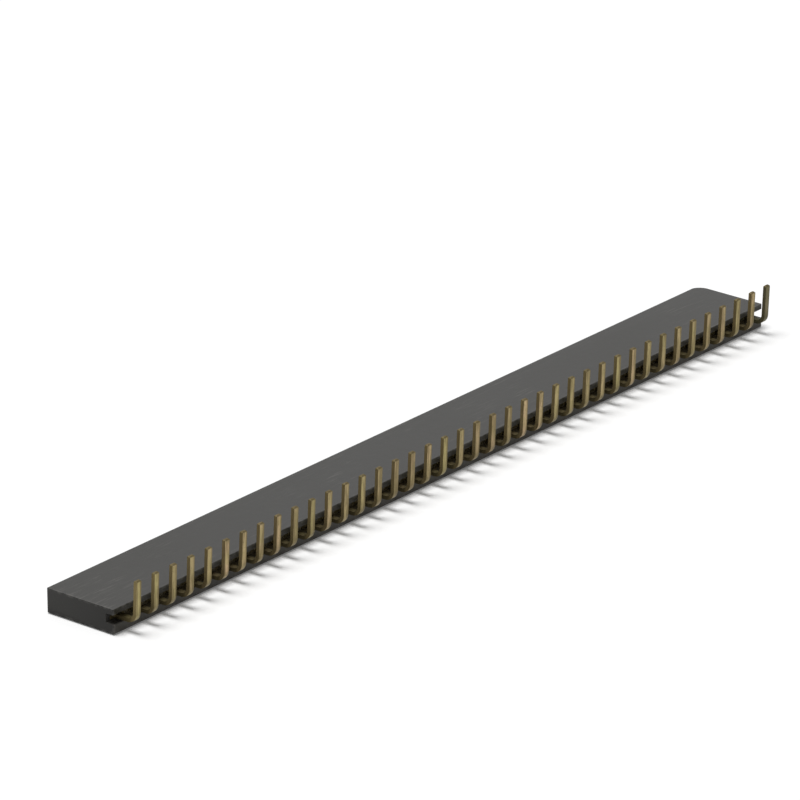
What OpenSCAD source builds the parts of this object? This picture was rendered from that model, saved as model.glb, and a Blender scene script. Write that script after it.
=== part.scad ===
// Right-angle female pin header strip.
// X runs along the row, +Y points to the mating face, -Y to the tail side, and +Z to the board side.
// The origin is the centre of the underside.

/* [Strip] */
// Number of contacts in the row
ways = 40; // [2:1:59]
// Distance from one contact to the next
pitch = 2.54; // [2.54:0.01:3.2]
// Plastic past half a pitch at each end of the row
end_margin = 0.3; // [0:0.05:1]
// Depth of the moulding from the tail side to the mating face
body_depth = 8.5; // [7.5:0.1:12]
// Thickness of the moulding from the underside to the board-side face
body_t = 2.54; // [2.2:0.02:3.4]
// Height of the row's centre plane above the underside
row_z = 1.27; // [1.1:0.01:1.4]
// Rounding along the moulding's long edges
edge_r = 0.12; // [0.05:0.01:0.2]
// Corner radius in plan at the start of the row and along the tail side
corner_r = 0.15; // [0.05:0.01:0.3]
// Corner radius in plan at the far end of the mating face
far_corner_r = 1.4; // [0.1:0.05:1.5]

/* [Tail groove] */
// Depth of the groove in the tail side
groove_depth = 1; // [0.6:0.05:1.2]
// Height of the groove
groove_h = 0.95; // [0.8:0.01:1.05]
// Thickness of the lip below the groove
under_lip_t = 1; // [0.8:0.01:1.05]

/* [Sockets] */
// Width of the square lead-in at the mating face
lead_in_w = 1.7; // [1.1:0.05:1.8]
// Depth of the lead-in
lead_in_depth = 0.6; // [0.3:0.05:0.8]
// Width of the square guide hole behind the lead-in
guide_w = 0.84; // [0.7:0.02:0.95]
// Length of the guide hole
guide_len = 0.55; // [0.3:0.05:0.8]
// Width of the chamber that the fork springs in
chamber_w = 1.9; // [1.7:0.02:2]
// Height of the chamber
chamber_h = 1.06; // [0.96:0.02:1.3]

/* [Contact] */
// Thickness of the strip that the contact is stamped from
strip_t = 0.4; // [0.3:0.01:0.44]
// Gap between the fork and the end of the chamber
tip_gap = 0.15; // [0.05:0.05:0.5]
// Width of the slot that the contact is pressed into
slot_w = 1.54; // [1.4:0.01:1.6]
// Length of that slot
slot_len = 1.5; // [1.2:0.05:2]
// Clearance beside the contact and over it
slot_gap = 0.03; // [0.01:0.01:0.06]
// Width across the two ears
ear_w = 2; // [1.8:0.02:2.1]
// Length of the ears, which lie flush with the floor of the groove
ear_len = 0.45; // [0.3:0.05:0.6]
// Length of each barb's ramp
barb_ramp = 0.3; // [0.15:0.05:0.35]
// Length of each barb's flat crest
barb_flat = 0.1; // [0.05:0.01:0.15]
// Distance between the two barbs on one side
barb_step = 0.65; // [0.5:0.05:0.7]

/* [Fork] */
// Solid length between the slot and the root of the fork
root_len = 0.25; // [0.1:0.05:0.5]
// Width of the gap between the prongs
fork_gap = 0.62; // [0.54:0.02:0.66]
// Width of the gap where the noses pinch the pin
pinch_gap = 0.42; // [0.3:0.02:0.5]
// Radius of each nose
nose_r = 0.5; // [0.3:0.05:0.8]
// Distance from the noses to the tips of the prongs
nose_back = 0.75; // [0.6:0.05:1]
// Width of the gap at the flared tips
mouth_gap = 0.94; // [0.8:0.02:1]
// Narrowing of each prong's outer edge from the root to the tip
prong_taper = 0.06; // [0:0.01:0.1]
// Radius at the outer corner of each prong's tip
prong_r = 0.1; // [0.05:0.01:0.12]

/* [Tail] */
// Width of the tail
tail_w = 0.64; // [0.5:0.01:0.8]
// Distance from the moulding to the centre of the tail, level with the board-side face
tail_offset = 1.55; // [1.3:0.05:2.5]
// Height of the tail's end above the board-side face
tail_reach = 3; // [1.5:0.1:6]
// Inside radius of the bend
bend_r = 0.7; // [0.2:0.05:0.8]
// Outward lean that springback leaves in the upright tail, in degrees
tail_lean = 3; // [0:0.5:5]
// Bevel around the end of the tail
tail_bevel = 0.12; // [0.05:0.01:0.18]
// Radius between the tail and the ears
ear_fillet = 0.15; // [0.05:0.05:0.2]

/* [Hidden] */
$fn = 32;
// Overlap that lets one cut run into the next
cut = 0.1;
body_len = ways * pitch + 2 * end_margin;
tail_face_y = -body_depth / 2;
mating_y = body_depth / 2;
groove_y = tail_face_y + groove_depth;
ledge_y = groove_y + ear_len;
slot_end_y = ledge_y + slot_len;
guide_y = mating_y - lead_in_depth - guide_len;
root_y = slot_end_y + root_len;
tip_y = guide_y - tip_gap;
nose_y = tip_y - nose_back;
strip_z = row_z - strip_t / 2;
base_w = slot_w - 2 * slot_gap;
ear_pocket_w = ear_w + 2 * slot_gap;
slot_h = strip_t + slot_gap;
bend_out_r = bend_r + strip_t;
bend_mid_r = bend_r + strip_t / 2;
bend_z = strip_z + bend_out_r;
// Lengths along the leaning tail, from the bend to the board-side face and to the end
leg_to_board = (body_t - bend_z + bend_mid_r * sin(tail_lean)) / cos(tail_lean);
leg_len = leg_to_board + tail_reach / cos(tail_lean);
bend_y = tail_face_y - tail_offset + bend_mid_r * cos(tail_lean) + leg_to_board * sin(tail_lean);

plastic = [0.30, 0.30, 0.29];
brass = [0.71, 0.60, 0.36];

function contact_x(i) = (i - (ways + 1) / 2) * pitch;
function contact_name(i) = str("contact_", i < 10 ? "0" : "", i);

// What a rounded corner leaves of a square corner at the origin, seen from its inner side
module corner_waste(r) {
    difference() {
        translate([-cut, -cut]) square(r + cut);
        translate([r, r]) circle(r);
    }
}

// Corner waste at all four corners of a rectangle whose lower left corner is at the origin
module waste_at_corners(w, h, radii) {
    corner_waste(radii[0]);
    translate([w, 0]) mirror([1, 0]) corner_waste(radii[1]);
    translate([w, h]) rotate(180) corner_waste(radii[2]);
    translate([0, h]) mirror([0, 1]) corner_waste(radii[3]);
}

// Section of the moulding across the row, with depth along X and height along Y
module housing_section() {
    difference() {
        square([body_depth, body_t]);
        waste_at_corners(body_depth, body_t, [edge_r, edge_r, edge_r, edge_r]);
        translate([-cut, under_lip_t]) square([groove_depth + cut, groove_h]);
        // The two lips are rounded inside the groove's mouth as well
        translate([0, under_lip_t]) mirror([0, 1]) corner_waste(edge_r);
        translate([0, under_lip_t + groove_h]) corner_waste(edge_r);
    }
}

// Rounds the upright edges at the four corners of the plan
module plan_corner_waste() {
    translate([-body_len / 2, tail_face_y, -cut])
        linear_extrude(body_t + 2 * cut)
            waste_at_corners(body_len, body_depth, [corner_r, corner_r, far_corner_r, corner_r]);
}

// Square funnel that narrows from the mating face to the guide hole
module lead_in() {
    slope = (lead_in_w - guide_w) / 2 / lead_in_depth;
    outer_half = lead_in_w / 2 + slope * cut;
    inner_half = guide_w / 2;
    side = [
        [-inner_half, -lead_in_depth],
        [inner_half, -lead_in_depth],
        [outer_half, cut],
        [-outer_half, cut]
    ];
    intersection() {
        translate([0, 0, -lead_in_w]) linear_extrude(2 * lead_in_w) polygon(side);
        rotate([0, 90, 0]) translate([0, 0, -lead_in_w]) linear_extrude(2 * lead_in_w) polygon(side);
    }
}

// A box centred on the row, between two places along Y
module row_box(w, y0, y1, z0, h) {
    translate([-w / 2, y0, z0]) cube([w, y1 - y0, h]);
}

// One stepped way through the moulding, from the mating face to the groove
module socket_cavity() {
    translate([0, mating_y, row_z]) lead_in();
    row_box(guide_w, guide_y - cut, mating_y, row_z - guide_w / 2, guide_w);
    row_box(chamber_w, slot_end_y, guide_y, row_z - chamber_h / 2, chamber_h);
    row_box(slot_w, groove_y - cut, slot_end_y + cut, strip_z, slot_h);
    row_box(ear_pocket_w, groove_y - cut, ledge_y, strip_z, slot_h);
}

module housing() {
    color(plastic)
        difference() {
            translate([-body_len / 2, tail_face_y, 0])
                rotate([90, 0, 90])
                    linear_extrude(body_len) housing_section();
            plan_corner_waste();
            for (i = [1:ways]) translate([contact_x(i), 0, 0]) socket_cavity();
        }
}

// Right half of one barb, whose crest meets the wall of the slot
module barb() {
    polygon([
        [base_w / 2 - cut, 0],
        [slot_w / 2, 0],
        [slot_w / 2, barb_flat],
        [base_w / 2, barb_flat + barb_ramp],
        [base_w / 2 - cut, barb_flat + barb_ramp]
    ]);
}

// Right-hand prong in plan
module prong() {
    inner = fork_gap / 2;
    outer = base_w / 2;
    tip_outer = outer - prong_taper;
    bite = nose_r - (fork_gap - pinch_gap) / 2;
    nose_reach = sqrt(nose_r * nose_r - bite * bite);
    difference() {
        polygon([
            [inner, root_y - cut],
            [outer, root_y - cut],
            [tip_outer, tip_y],
            [mouth_gap / 2, tip_y],
            [inner, nose_y + nose_reach]
        ]);
        translate([tip_outer, tip_y]) rotate(180) corner_waste(prong_r);
    }
    // The nose is the part of a larger circle that stands inside the gap
    intersection() {
        translate([pinch_gap / 2 + nose_r, nose_y]) circle(nose_r);
        translate([0, nose_y - nose_r]) square([inner + cut, 2 * nose_r]);
    }
}

// Right half of the contact in plan, without the tail's bend
module contact_half_plan() {
    prong();
    // The base ends in a round root between the prongs
    difference() {
        translate([0, ledge_y - cut]) square([base_w / 2, root_y - ledge_y + cut]);
        translate([0, root_y]) circle(fork_gap / 2);
    }
    translate([0, groove_y]) square([ear_w / 2, ear_len]);
    for (k = [0, 1]) translate([0, ledge_y + barb_flat + k * barb_step]) barb();
    translate([tail_w / 2, groove_y]) mirror([0, 1]) difference() {
        translate([-cut, -cut]) square(ear_fillet + cut);
        translate([ear_fillet, ear_fillet]) circle(ear_fillet);
    }
}

// A bar in outline, standing on the origin and bevelled on both sides of its upper end
module bevelled_end(w, h) {
    polygon([
        [0, 0],
        [w, 0],
        [w, h - tail_bevel],
        [w - tail_bevel, h],
        [tail_bevel, h],
        [0, h - tail_bevel]
    ]);
}

// Side view of the tail around the centre of its bend, with Y along X and height along Y
module tail_side() {
    far = 2 * bend_out_r;
    translate([0, -bend_out_r]) square([groove_y - bend_y + cut, strip_t]);
    // The bend turns through a right angle less the lean
    intersection() {
        difference() {
            circle(bend_out_r);
            circle(bend_r);
        }
        polygon([[0, 0], [0, -far], [-far, -far], [-far, -far * tan(tail_lean)]]);
    }
    rotate(tail_lean) translate([-bend_out_r, 0]) bevelled_end(strip_t, leg_len);
}

// The solder tail, bent up beside the moulding
module tail() {
    clear_of_bend = tail_offset + groove_depth + bend_out_r;
    translate([-tail_w / 2, bend_y, bend_z])
        intersection() {
            rotate([90, 0, 90]) linear_extrude(tail_w) tail_side();
            rotate([tail_lean, 0, 0])
                translate([0, clear_of_bend, -clear_of_bend])
                    rotate([90, 0, 0])
                        linear_extrude(2 * clear_of_bend)
                            bevelled_end(tail_w, clear_of_bend + leg_len);
        }
}

module contact(i) {
    color(brass)
        translate([contact_x(i), 0, 0]) {
            translate([0, 0, strip_z]) linear_extrude(strip_t) {
                contact_half_plan();
                mirror([1, 0]) contact_half_plan();
            }
            tail();
        }
}

housing();
for (i = [1:ways]) contact(i);
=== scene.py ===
import math

import bpy
from mathutils import Matrix, Vector


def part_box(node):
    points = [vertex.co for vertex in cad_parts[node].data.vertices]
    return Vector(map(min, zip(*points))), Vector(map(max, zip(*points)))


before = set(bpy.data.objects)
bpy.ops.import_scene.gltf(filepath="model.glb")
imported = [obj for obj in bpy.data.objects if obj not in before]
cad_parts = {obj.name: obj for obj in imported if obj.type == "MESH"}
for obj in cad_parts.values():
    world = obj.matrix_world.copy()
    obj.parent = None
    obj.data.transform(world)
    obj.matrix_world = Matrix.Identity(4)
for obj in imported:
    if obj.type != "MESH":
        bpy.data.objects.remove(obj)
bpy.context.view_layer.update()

MM = 0.001

# The CAD frame's axes: along the row, from the tails to the mating face, and up
ALONG = 0
ACROSS = 1
UPWARD = 2

# Camera: a long lens low over the solder tails, off the near end of the row
CAMERA_AZIMUTH = math.radians(-50.514)
CAMERA_ELEVATION = math.radians(21.942)
CAMERA_ROLL = math.radians(-0.294)
CAMERA_LENS = 303.83
CAMERA_SENSOR = 36
CAMERA_DISTANCE = 671.67 * MM
CAMERA_REACH = 50
AIM_LEFT = 5.522 * MM
AIM_UP = 7.19 * MM

# Studio: a dim white room and one large soft lamp almost overhead, behind the row's near end
WHITE = (1, 1, 1, 1)
ROOM_LIGHT = 0.28
LAMP_TURN = math.radians(-135)
LAMP_HEIGHT = math.radians(77)
LAMP_DISTANCE = 2.4
LAMP_SIZE = 1.26
LAMP_POWER = 45

# Floor: a little under the solids, for the dark line along the foot of the photo's bowed strip
FLOOR_SIZE = 6
FLOOR_GAP = 0.12 * MM
FLOOR_TONE = (0.95, 0.95, 0.95, 1)
FLOOR_ROUGHNESS = 0.9
FLOOR_GLOW = 0.1

# Edge rounding too fine for the solids
PLASTIC_EDGE = 0.05 * MM
METAL_EDGE = 0.035 * MM
EDGE_SEGMENTS = 2
SHARP_ANGLE = math.radians(35)
WELD_REACH = 0.001 * MM

# Tones of the plastic
DARK_BLACK = (0.029, 0.028, 0.0255, 1)
LIGHT_BLACK = (0.036, 0.035, 0.032, 1)
SPECK_TONE = (0.055, 0.055, 0.053, 1)
# Painted light on the lower lip's face and painted shade on the upper lip's face
LOWER_LIP_PAINTED_LIGHT = (0.042, 0.039, 0.031, 1)
UPPER_LIP_PAINTED_SHADE = (0.018, 0.016, 0.009, 1)
# Painted shade on the ends
END_SHADE_TONE = (0.012, 0.0115, 0.01, 1)
RUBBED_TONE = (0.16, 0.155, 0.145, 1)
# Painted bounce light inside the groove
GROOVE_LIGHT_TONE = (0.14, 0.12, 0.075, 1)

# Tones of the brass
GREENISH_BRASS = (0.40, 0.34, 0.152, 1)
WARM_BRASS = (0.50, 0.368, 0.215, 1)
CLOUD_TONE = (0.34, 0.299, 0.126, 1)
SHADE_TONE = (0.20, 0.16, 0.08, 1)
STREAK_TONE = (0.17, 0.13, 0.062, 1)
# Painted shade on each tail's broad faces towards their +X edge
EDGE_SHADE_TONE = (0.16, 0.128, 0.062, 1)
TARNISH_TONE = (0.13, 0.105, 0.05, 1)
# Sheared sides: rough cut metal, darkened further by a painted reflection of the dark plastic
SHEARED_AND_SHADED_TONE = (0.165, 0.127, 0.06, 1)
# Painted shade on the roots and the feet of the tails
ROOT_SHADE_TONE = (0.065, 0.053, 0.026, 1)
# Painted reflection on the last tail
LAST_TAIL_REFLECTION_TONE = (0.085, 0.082, 0.045, 1)
CUT_END_TONE = (0.10, 0.08, 0.042, 1)

# Noise patterns of the plastic
GRAIN = {"size": 0.12 * MM, "detail": 4}
ORANGE_PEEL = {"size": 0.9 * MM}
FLOW_MARKS = {"size": 7 * MM, "detail": 3, "stretch": (0.35, 1, 1)}
SCUFF_LINES = {"size": 0.35 * MM, "detail": 3, "rough": 0.6, "stretch": (0.12, 1.6, 1)}
SCUFF_PATCHES = {"size": 5 * MM}
WORN_PATCHES = {"size": 0.8 * MM, "detail": 4, "rough": 0.65}
GROOVE_LIGHT_PATCHES = {"size": 0.6 * MM, "detail": 3}

# Noise patterns of the brass
DRAW_LINES = {"size": 0.05 * MM, "detail": 3, "stretch": (1, 1, 0.04)}
STREAKS = {"size": 0.22 * MM, "stretch": (1, 1, 0.06)}
CLOUDS = {"size": 0.8 * MM, "detail": 3}
STRIP_TONES = {"size": 3.1 * MM, "detail": 1, "stretch": (1, 0.2, 0.2)}
STRIP_SHADES = {"size": 2.3 * MM, "stretch": (1, 0.3, 0.3)}
TARNISH = {"size": 0.25 * MM, "detail": 4, "rough": 0.6}

# Depths of the patterns that show as relief
ORANGE_PEEL_DEPTH = 0.006 * MM
GRAIN_DEPTH = 0.003 * MM
DRAW_LINE_DEPTH = 0.0025 * MM
TARNISH_DEPTH = 0.0015 * MM

# Roughness, from its lowest to its highest, and what wear adds to it
PLASTIC_ROUGHNESS = (0.33, 0.41)
SCUFF_ROUGHNESS = 0.12
BRASS_ROUGHNESS = (0.48, 0.56)
DRAW_LINE_ROUGHNESS = 0.1
CUT_ROUGHNESS = 0.08
PLASTIC_SPECULAR = 0.18

# Share of a face's normal that lies along an axis, where `facing` starts and where it is full
SQUARE_START = 0.6
SQUARE_FULL = 0.9

# How far wear reaches in from the moulding's edges, the row's ends and the mating edge
WORN_EDGE = 0.3 * MM
SCUFFED_END = 9 * MM
SCUFFED_MATING_EDGE = SCUFFED_END / 4
RIM_STRENGTH = 0.6

# The groove's painted bounce light runs from START to REACH in from the tail side, stays MARGIN clear
# of the flat faces, and fades out from END_FAR to END_NEAR before the ends of the row
GROOVE_LIGHT_START = 0.15 * MM
GROOVE_LIGHT_REACH = 1.1 * MM
GROOVE_LIGHT_MARGIN = 0.3 * MM
GROOVE_LIGHT_FADE = 0.1 * MM
GROOVE_LIGHT_END_FAR = 2 * MM
GROOVE_LIGHT_END_NEAR = 1.2 * MM

# The lips' faces lie within LIP_FACE of the tail side; below LOWER_LIP_TOP they get the lower lip's
# painted light, and from UPPER_LIP_DEPTH below the board side upwards the upper lip's painted shade
LIP_FACE = 0.1 * MM
LIP_FACE_FADE = 0.1 * MM
LOWER_LIP_TOP = 0.9 * MM
UPPER_LIP_DEPTH = 0.7 * MM

# Height of the painted shade along the foot of the ends, and its strength at the tail side
SHADED_FOOT = 0.7 * MM
TAIL_SIDE_SHADE = 0.75

# Painted shade on the contact from a set length in from its outermost place, and by a set share at
# the foot of the tail, which fades out from FOOT_BELOW to FOOT_ABOVE the board side
SHADED_RUN = 1.0 * MM
SHADED_RUN_FADE = 0.5 * MM
FOOT_BELOW = 0.6 * MM
FOOT_ABOVE = 0.5 * MM
FOOT_SHADE = 0.33

# Painted shade on each tail's broad faces from near its middle; the cut tip, from its top; the last
# contact's painted reflection, from its near side
EDGE_SHADE_START = 0.08 * MM
EDGE_SHADE_FULL = 0.24 * MM
TIP_START = 0.2 * MM
TIP_FULL = 0.1 * MM
LAST_START = 0.2 * MM
LAST_FULL = 0.1 * MM


def direction(turn, height):
    """Unit vector towards a place seen from the object."""
    return Vector((
        math.sin(turn) * math.cos(height),
        -math.cos(turn) * math.cos(height),
        math.sin(height),
    ))


# ---------------------------------------------------------------- node helpers

def new_material(name):
    """A material that holds only an output node."""
    material = bpy.data.materials.new(name)
    material.use_nodes = True
    tree = material.node_tree
    tree.nodes.clear()
    output = tree.nodes.new("ShaderNodeOutputMaterial")
    return material, tree, output


def set_socket(tree, socket, value):
    """Links a node's output, writes a plain value, or leaves the socket alone for None."""
    if isinstance(value, bpy.types.NodeSocket):
        tree.links.new(value, socket)
    elif value is not None:
        socket.default_value = value


def set_inputs(tree, node, **inputs):
    """Sets inputs by their names, with an underscore for each space."""
    for name, value in inputs.items():
        set_socket(tree, node.inputs[name.replace("_", " ")], value)


def add(tree, kind, **inputs):
    """A new node with its inputs set."""
    node = tree.nodes.new(kind)
    set_inputs(tree, node, **inputs)
    return node


def coordinates(tree, stretch=(1, 1, 1)):
    """Object coordinates, in metres, times the stretch along each axis."""
    place = tree.nodes.new("ShaderNodeTexCoord").outputs["Object"]
    return add(tree, "ShaderNodeMapping", Vector=place, Scale=stretch).outputs["Vector"]


def noise(tree, size, detail=2.0, rough=0.5, stretch=(1, 1, 1)):
    """Noise of 0 to 1 whose features are about `size` metres across, before the stretch."""
    node = add(
        tree, "ShaderNodeTexNoise", Vector=coordinates(tree, stretch),
        Scale=1 / size, Detail=detail, Roughness=rough,
    )
    return node.outputs["Fac"]


def span(tree, value, low, high, to_low=0, to_high=1):
    """Maps low..high to to_low..to_high, held at both ends."""
    node = add(
        tree, "ShaderNodeMapRange", Value=value,
        From_Min=low, From_Max=high, To_Min=to_low, To_Max=to_high,
    )
    return node.outputs["Result"]


def combine(tree, operation, first, second=None):
    """The result of a Math node."""
    node = tree.nodes.new("ShaderNodeMath")
    node.operation = operation
    set_socket(tree, node.inputs[0], first)
    set_socket(tree, node.inputs[1], second)
    return node.outputs["Value"]


def product(tree, first, *others):
    """All the values multiplied together."""
    for other in others:
        first = combine(tree, "MULTIPLY", first, other)
    return first


def within(tree, value, low, high, fade):
    """1 from low to high, falling to 0 over `fade` outside them."""
    above = span(tree, value, low - fade, low)
    below = span(tree, value, high, high + fade, 1, 0)
    return product(tree, above, below)


def parts_of(tree, vector):
    """The X, Y and Z of a vector, as three outputs."""
    split = add(tree, "ShaderNodeSeparateXYZ", Vector=vector)
    return split.outputs["X"], split.outputs["Y"], split.outputs["Z"]


def place_on(tree, axis):
    """The place along one axis of the CAD frame, in metres."""
    return parts_of(tree, coordinates(tree))[axis]


def size_of(tree, value):
    """The value without its sign."""
    return combine(tree, "ABSOLUTE", value)


def facing(tree, axis):
    """1 on faces square to an axis, 0 on those that run along it."""
    normal = tree.nodes.new("ShaderNodeTexCoord").outputs["Normal"]
    return span(tree, size_of(tree, parts_of(tree, normal)[axis]), SQUARE_START, SQUARE_FULL)


def blend_colours(tree, share, first, second):
    """The first colour where the share is 0, the second where it is 1."""
    node = tree.nodes.new("ShaderNodeMix")
    node.data_type = "RGBA"
    set_inputs(tree, node, Factor=share, A=first, B=second)
    return node.outputs["Result"]


def paint_layers(tree, colour, layers):
    """Lays each (mask, strength, tone) over the colour so far."""
    for mask, strength, tone in layers:
        colour = blend_colours(tree, product(tree, mask, strength), colour, tone)
    return colour


def bump(tree, height, depth, normal=None):
    """The normal of a relief whose heights 0 to 1 span `depth` metres."""
    node = add(
        tree, "ShaderNodeBump", Height=height, Strength=1.0, Distance=depth, Normal=normal,
    )
    return node.outputs["Normal"]


def add_surface(tree, output, **inputs):
    """Links a Principled surface with its inputs set to the output."""
    shader = add(tree, "ShaderNodeBsdfPrincipled", **inputs)
    tree.links.new(shader.outputs["BSDF"], output.inputs["Surface"])


# ---------------------------------------------------------------- plastic

def edge_closeness(tree, low, high, reach):
    """1 on the edges of the box low..high, falling to 0 at `reach` from them."""
    near = []
    for place, start, end in zip(parts_of(tree, coordinates(tree)), low, high):
        half = (end - start) / 2
        off_centre = size_of(tree, combine(tree, "SUBTRACT", place, start + half))
        near.append(span(tree, off_centre, half - reach, half))
    pairs = [
        combine(tree, "MINIMUM", near[0], near[1]),
        combine(tree, "MINIMUM", near[1], near[2]),
        combine(tree, "MINIMUM", near[2], near[0]),
    ]
    return combine(tree, "MAXIMUM", combine(tree, "MAXIMUM", pairs[0], pairs[1]), pairs[2])


def worn_edges(tree, low, high):
    """Patches along the moulding's edges where the black has rubbed pale."""
    patches = span(tree, noise(tree, **WORN_PATCHES), 0.42, 0.62)
    return product(tree, edge_closeness(tree, low, high, WORN_EDGE), patches)


def handled_rim(tree, low, high):
    """1 at both ends of the row and at the mating edge, falling to 0 further in."""
    half = (high.x - low.x) / 2
    ends = span(tree, size_of(tree, place_on(tree, ALONG)), half - SCUFFED_END, half)
    mating_edge = span(tree, place_on(tree, ACROSS), high.y - SCUFFED_MATING_EDGE, high.y)
    return combine(tree, "MAXIMUM", ends, mating_edge)


def scuffs_on_flats(tree, low, high):
    """Fine lines on the flat faces, in patches and along the handled rim."""
    lines = span(tree, noise(tree, **SCUFF_LINES), 0.54, 0.70)
    patches = span(tree, noise(tree, **SCUFF_PATCHES), 0.52, 0.68)
    rim = product(tree, handled_rim(tree, low, high), RIM_STRENGTH)
    handled = product(tree, combine(tree, "ADD", patches, rim), facing(tree, UPWARD))
    return product(tree, lines, handled)


def groove_painted_light(tree, low, high):
    """Painted bounce light, brownish, inside the tail groove, 0 on the moulding's outer faces."""
    from_side = within(
        tree, place_on(tree, ACROSS), low.y + GROOVE_LIGHT_START, low.y + GROOVE_LIGHT_REACH, GROOVE_LIGHT_FADE,
    )
    clear_of_faces = within(
        tree, place_on(tree, UPWARD), low.z + GROOVE_LIGHT_MARGIN, high.z - GROOVE_LIGHT_MARGIN, GROOVE_LIGHT_FADE,
    )
    off_the_ends = span(
        tree, size_of(tree, place_on(tree, ALONG)),
        high.x - GROOVE_LIGHT_END_FAR, high.x - GROOVE_LIGHT_END_NEAR, 1, 0,
    )
    patches = span(tree, noise(tree, **GROOVE_LIGHT_PATCHES), 0.35, 0.65, 0.6, 1)
    return product(tree, from_side, clear_of_faces, off_the_ends, patches)


def tail_side_face(tree, low):
    """1 on the two lips' outer faces, above and below the groove, where light and shade are painted.
    """
    face = low.y + LIP_FACE
    outermost = span(tree, place_on(tree, ACROSS), face, face + LIP_FACE_FADE, 1, 0)
    return product(tree, outermost, facing(tree, ACROSS))


def lip_painted_light_and_shade(tree, low, high):
    """Painted light on the lower lip, turning into painted shade on the upper lip over the height of
    the groove.
    """
    rise = span(tree, place_on(tree, UPWARD), low.z + LOWER_LIP_TOP, high.z - UPPER_LIP_DEPTH)
    return blend_colours(tree, rise, LOWER_LIP_PAINTED_LIGHT, UPPER_LIP_PAINTED_SHADE)


def end_painted_shade(tree, low, high):
    """Painted shade on the moulding's two ends, darkest at the foot and towards the tail side."""
    at_foot = span(tree, place_on(tree, UPWARD), low.z, low.z + SHADED_FOOT, 1, 0)
    to_tail_side = span(tree, place_on(tree, ACROSS), low.y, high.y, TAIL_SIDE_SHADE, 0)
    return product(tree, combine(tree, "MAXIMUM", at_foot, to_tail_side), facing(tree, ALONG))


def moulded_plastic():
    """Black glass-filled plastic: fine grain, flow marks, scuffs, worn edges; painted light and shade
    on the lips, painted shade on the ends, painted bounce light in the groove.
    """
    material, tree, output = new_material("moulded_plastic")
    low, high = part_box("housing")
    grain = noise(tree, **GRAIN)
    flow = noise(tree, **FLOW_MARKS)
    scuffs = scuffs_on_flats(tree, low, high)
    rubbed = combine(tree, "ADD", scuffs, worn_edges(tree, low, high))
    black = blend_colours(tree, span(tree, flow, 0.3, 0.7), DARK_BLACK, LIGHT_BLACK)
    colour = paint_layers(tree, black, [
        (span(tree, grain, 0.55, 0.75), 0.5, SPECK_TONE),
        # painted light and shade on the lips' faces
        (tail_side_face(tree, low), 0.85, lip_painted_light_and_shade(tree, low, high)),
        # painted shade on the ends
        (end_painted_shade(tree, low, high), 1, END_SHADE_TONE),
        (rubbed, 0.4, RUBBED_TONE),
        # painted bounce light in the groove
        (groove_painted_light(tree, low, high), 1, GROOVE_LIGHT_TONE),
    ])
    unscuffed = span(tree, flow, 0.3, 0.7, *PLASTIC_ROUGHNESS)
    roughness = combine(tree, "ADD", unscuffed, product(tree, scuffs, SCUFF_ROUGHNESS))
    waves = bump(tree, noise(tree, **ORANGE_PEEL), ORANGE_PEEL_DEPTH)
    add_surface(
        tree, output, Base_Color=colour, Roughness=roughness,
        Normal=bump(tree, grain, GRAIN_DEPTH, waves), Specular_IOR_Level=PLASTIC_SPECULAR,
    )
    return material


# ---------------------------------------------------------------- brass

def root_painted_shade(tree):
    """1 where the contact runs out of the groove, and a share at the foot of its tail: painted shade.
    """
    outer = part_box("contact_01")[0].y
    board_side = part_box("housing")[1].z
    run = within(tree, place_on(tree, ACROSS), outer + SHADED_RUN, 0, SHADED_RUN_FADE)
    below = board_side - FOOT_BELOW
    above = board_side + FOOT_ABOVE
    foot = span(tree, place_on(tree, UPWARD), below, above, FOOT_SHADE, 0)
    return combine(tree, "MAXIMUM", run, foot)


def edge_band_painted_shade(tree):
    """1 on each tail's broad faces from past its middle to its +X edge, where shade is painted."""
    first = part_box("contact_01")
    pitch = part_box("contact_02")[0].x - first[0].x
    middle = (first[1].x - first[0].x) / 2
    from_first = combine(tree, "SUBTRACT", place_on(tree, ALONG), first[0].x)
    in_way = combine(tree, "FLOORED_MODULO", from_first, pitch)
    band = span(tree, in_way, middle + EDGE_SHADE_START, middle + EDGE_SHADE_FULL)
    return product(tree, band, facing(tree, ACROSS))


def cut_ends(tree):
    """1 on the cut tips of the tails, fading out just below them."""
    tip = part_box("contact_01")[1].z
    return span(tree, place_on(tree, UPWARD), tip - TIP_START, tip - TIP_FULL)


def last_tail_painted_reflection(tree):
    """1 on the last contact of the row, where a dark grey-green reflection is painted."""
    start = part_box(max(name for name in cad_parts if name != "housing"))[0].x
    return span(tree, place_on(tree, ALONG), start - LAST_START, start - LAST_FULL)


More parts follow.
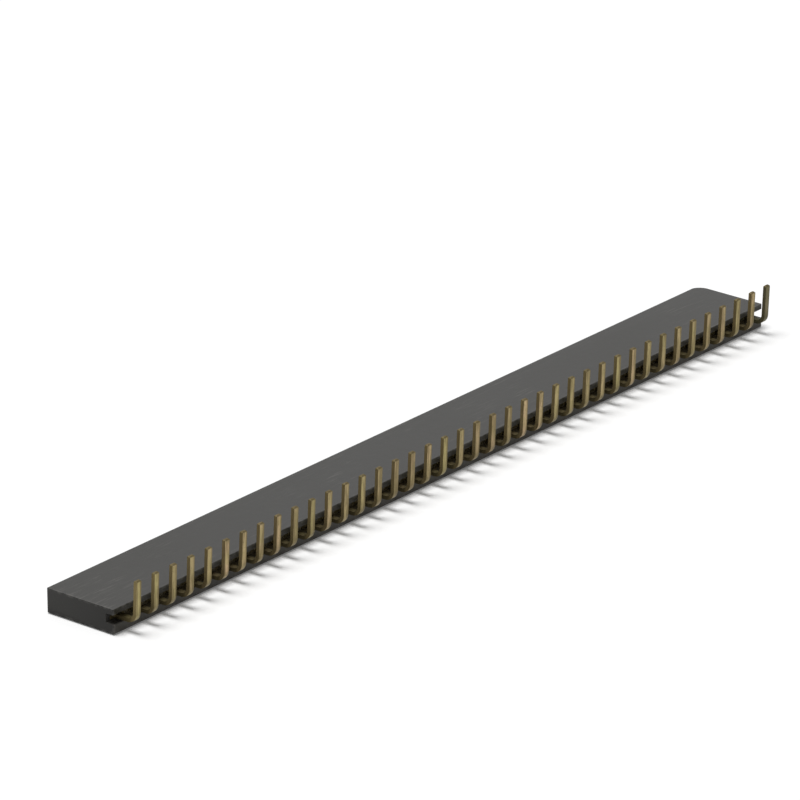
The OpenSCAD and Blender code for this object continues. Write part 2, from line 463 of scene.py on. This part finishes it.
def plated_brass():
    """Satin brass strip: draw lines, tarnish, cut ends; sheared sides darkened partly by painted
    reflection; painted shade on the roots, the feet and one edge of each face; a painted reflection
    on the last tail.
    """
    material, tree, output = new_material("plated_brass")
    draw_lines = noise(tree, **DRAW_LINES)
    clouds = noise(tree, **CLOUDS)
    tarnish = noise(tree, **TARNISH)
    sheared_and_shaded_sides = facing(tree, ALONG)
    ends = cut_ends(tree)
    warmth = span(tree, noise(tree, **STRIP_TONES), 0.35, 0.65)
    colour = paint_layers(tree, blend_colours(tree, warmth, GREENISH_BRASS, WARM_BRASS), [
        (span(tree, clouds, 0.4, 0.7), 0.6, CLOUD_TONE),
        (span(tree, noise(tree, **STRIP_SHADES), 0.35, 0.65), 0.5, SHADE_TONE),
        (span(tree, noise(tree, **STREAKS), 0.46, 0.60), 0.7, STREAK_TONE),
        # painted shade on one edge of each face
        (edge_band_painted_shade(tree), 0.7, EDGE_SHADE_TONE),
        (span(tree, tarnish, 0.58, 0.75), 0.7, TARNISH_TONE),
        # rough cut sides, darkened further by painted reflection
        (sheared_and_shaded_sides, 0.85, SHEARED_AND_SHADED_TONE),
        # painted shade on the roots and feet
        (root_painted_shade(tree), 0.85, ROOT_SHADE_TONE),
        # painted reflection on the last tail
        (last_tail_painted_reflection(tree), 0.75, LAST_TAIL_REFLECTION_TONE),
        (ends, 0.85, CUT_END_TONE),
    ])
    satin = span(tree, clouds, 0.3, 0.7, *BRASS_ROUGHNESS)
    lines = span(tree, draw_lines, 0.4, 0.8, 0, DRAW_LINE_ROUGHNESS)
    cuts = product(tree, combine(tree, "MAXIMUM", sheared_and_shaded_sides, ends), CUT_ROUGHNESS)
    roughness = combine(tree, "ADD", combine(tree, "ADD", satin, lines), cuts)
    lined = bump(tree, draw_lines, DRAW_LINE_DEPTH)
    add_surface(
        tree, output, Base_Color=colour, Roughness=roughness,
        Normal=bump(tree, tarnish, TARNISH_DEPTH, lined), Metallic=1.0,
    )
    return material


# ---------------------------------------------------------------- dressing

def dress(node, material, edge):
    """Gives a CAD node its material and rounds its sharp edges a little."""
    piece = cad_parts[node]
    if not piece.material_slots:
        piece.data.materials.append(material)
    for slot in piece.material_slots:
        slot.material = material
    weld = piece.modifiers.new("weld", "WELD")
    weld.merge_threshold = WELD_REACH
    bevel = piece.modifiers.new("edges", "BEVEL")
    bevel.width = edge
    bevel.segments = EDGE_SEGMENTS
    bevel.limit_method = "ANGLE"
    bevel.angle_limit = SHARP_ANGLE
    bevel.harden_normals = True


def dress_all():
    """The housing in plastic and every contact in brass."""
    plastic = moulded_plastic()
    brass = plated_brass()
    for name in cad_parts:
        if name == "housing":
            dress(name, plastic, PLASTIC_EDGE)
        else:
            dress(name, brass, METAL_EDGE)


# ---------------------------------------------------------------- studio

def seen_light(tree):
    """1 for camera, mirror and glass rays, 0 for the rays that light the object."""
    path = tree.nodes.new("ShaderNodeLightPath")
    seen = combine(tree, "MAXIMUM", path.outputs["Is Camera Ray"], path.outputs["Is Glossy Ray"])
    return combine(tree, "MAXIMUM", seen, path.outputs["Is Transmission Ray"])


def floor_paper():
    """Pale paper, a little brighter to the eye than it is to the object; it keeps shadows."""
    material, tree, output = new_material("floor_paper")
    add_surface(
        tree, output, Base_Color=FLOOR_TONE, Roughness=FLOOR_ROUGHNESS, Specular_IOR_Level=0.0,
        Emission_Color=WHITE, Emission_Strength=product(tree, seen_light(tree), FLOOR_GLOW),
    )
    return material


def lay_floor():
    """A large square under the object."""
    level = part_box("housing")[0].z - FLOOR_GAP
    half = FLOOR_SIZE / 2
    corners = [(-half, -half, level), (half, -half, level), (half, half, level), (-half, half, level)]
    mesh = bpy.data.meshes.new("floor")
    mesh.from_pydata(corners, [], [(0, 1, 2, 3)])
    mesh.materials.append(floor_paper())
    floor = bpy.data.objects.new("floor", mesh)
    bpy.context.scene.collection.objects.link(floor)


def paint_room():
    """A world that is white to the eye and dim to the object."""
    world = bpy.data.worlds.new("room")
    world.use_nodes = True
    tree = world.node_tree
    strength = span(tree, seen_light(tree), 0, 1, ROOM_LIGHT, 1)
    set_inputs(tree, tree.nodes["Background"], Color=WHITE, Strength=strength)
    bpy.context.scene.world = world


def hang_lamp():
    """A large round lamp that faces the origin."""
    data = bpy.data.lights.new("softbox", "AREA")
    data.shape = "DISK"
    data.size = LAMP_SIZE
    data.energy = LAMP_POWER
    lamp = bpy.data.objects.new("softbox", data)
    away = direction(LAMP_TURN, LAMP_HEIGHT)
    lamp.location = away * LAMP_DISTANCE
    lamp.rotation_euler = away.to_track_quat("Z", "Y").to_euler()
    bpy.context.scene.collection.objects.link(lamp)


def camera_axes():
    """The camera's right, up and backward directions, with its slight roll."""
    back = direction(CAMERA_AZIMUTH, CAMERA_ELEVATION)
    level_right = Vector((math.cos(CAMERA_AZIMUTH), math.sin(CAMERA_AZIMUTH), 0))
    level_up = back.cross(level_right)
    right = level_right * math.cos(CAMERA_ROLL) + level_up * math.sin(CAMERA_ROLL)
    up = level_up * math.cos(CAMERA_ROLL) - level_right * math.sin(CAMERA_ROLL)
    return right, up, back


def place_camera():
    """The photo's camera, aimed beside and above the middle of the housing's tail-side foot."""
    low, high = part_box("housing")
    foot = Vector(((low.x + high.x) / 2, low.y, low.z))
    right, up, back = camera_axes()
    data = bpy.data.cameras.new("camera")
    data.lens = CAMERA_LENS
    data.sensor_width = CAMERA_SENSOR
    data.clip_end = CAMERA_REACH
    camera = bpy.data.objects.new("camera", data)
    camera.location = foot - right * AIM_LEFT + up * AIM_UP + back * CAMERA_DISTANCE
    camera.rotation_euler = Matrix((right, up, back)).transposed().to_euler()
    bpy.context.scene.collection.objects.link(camera)
    bpy.context.scene.camera = camera


place_camera()
lay_floor()
paint_room()
hang_lamp()
dress_all()
bpy.context.scene.view_settings.view_transform = "Standard"
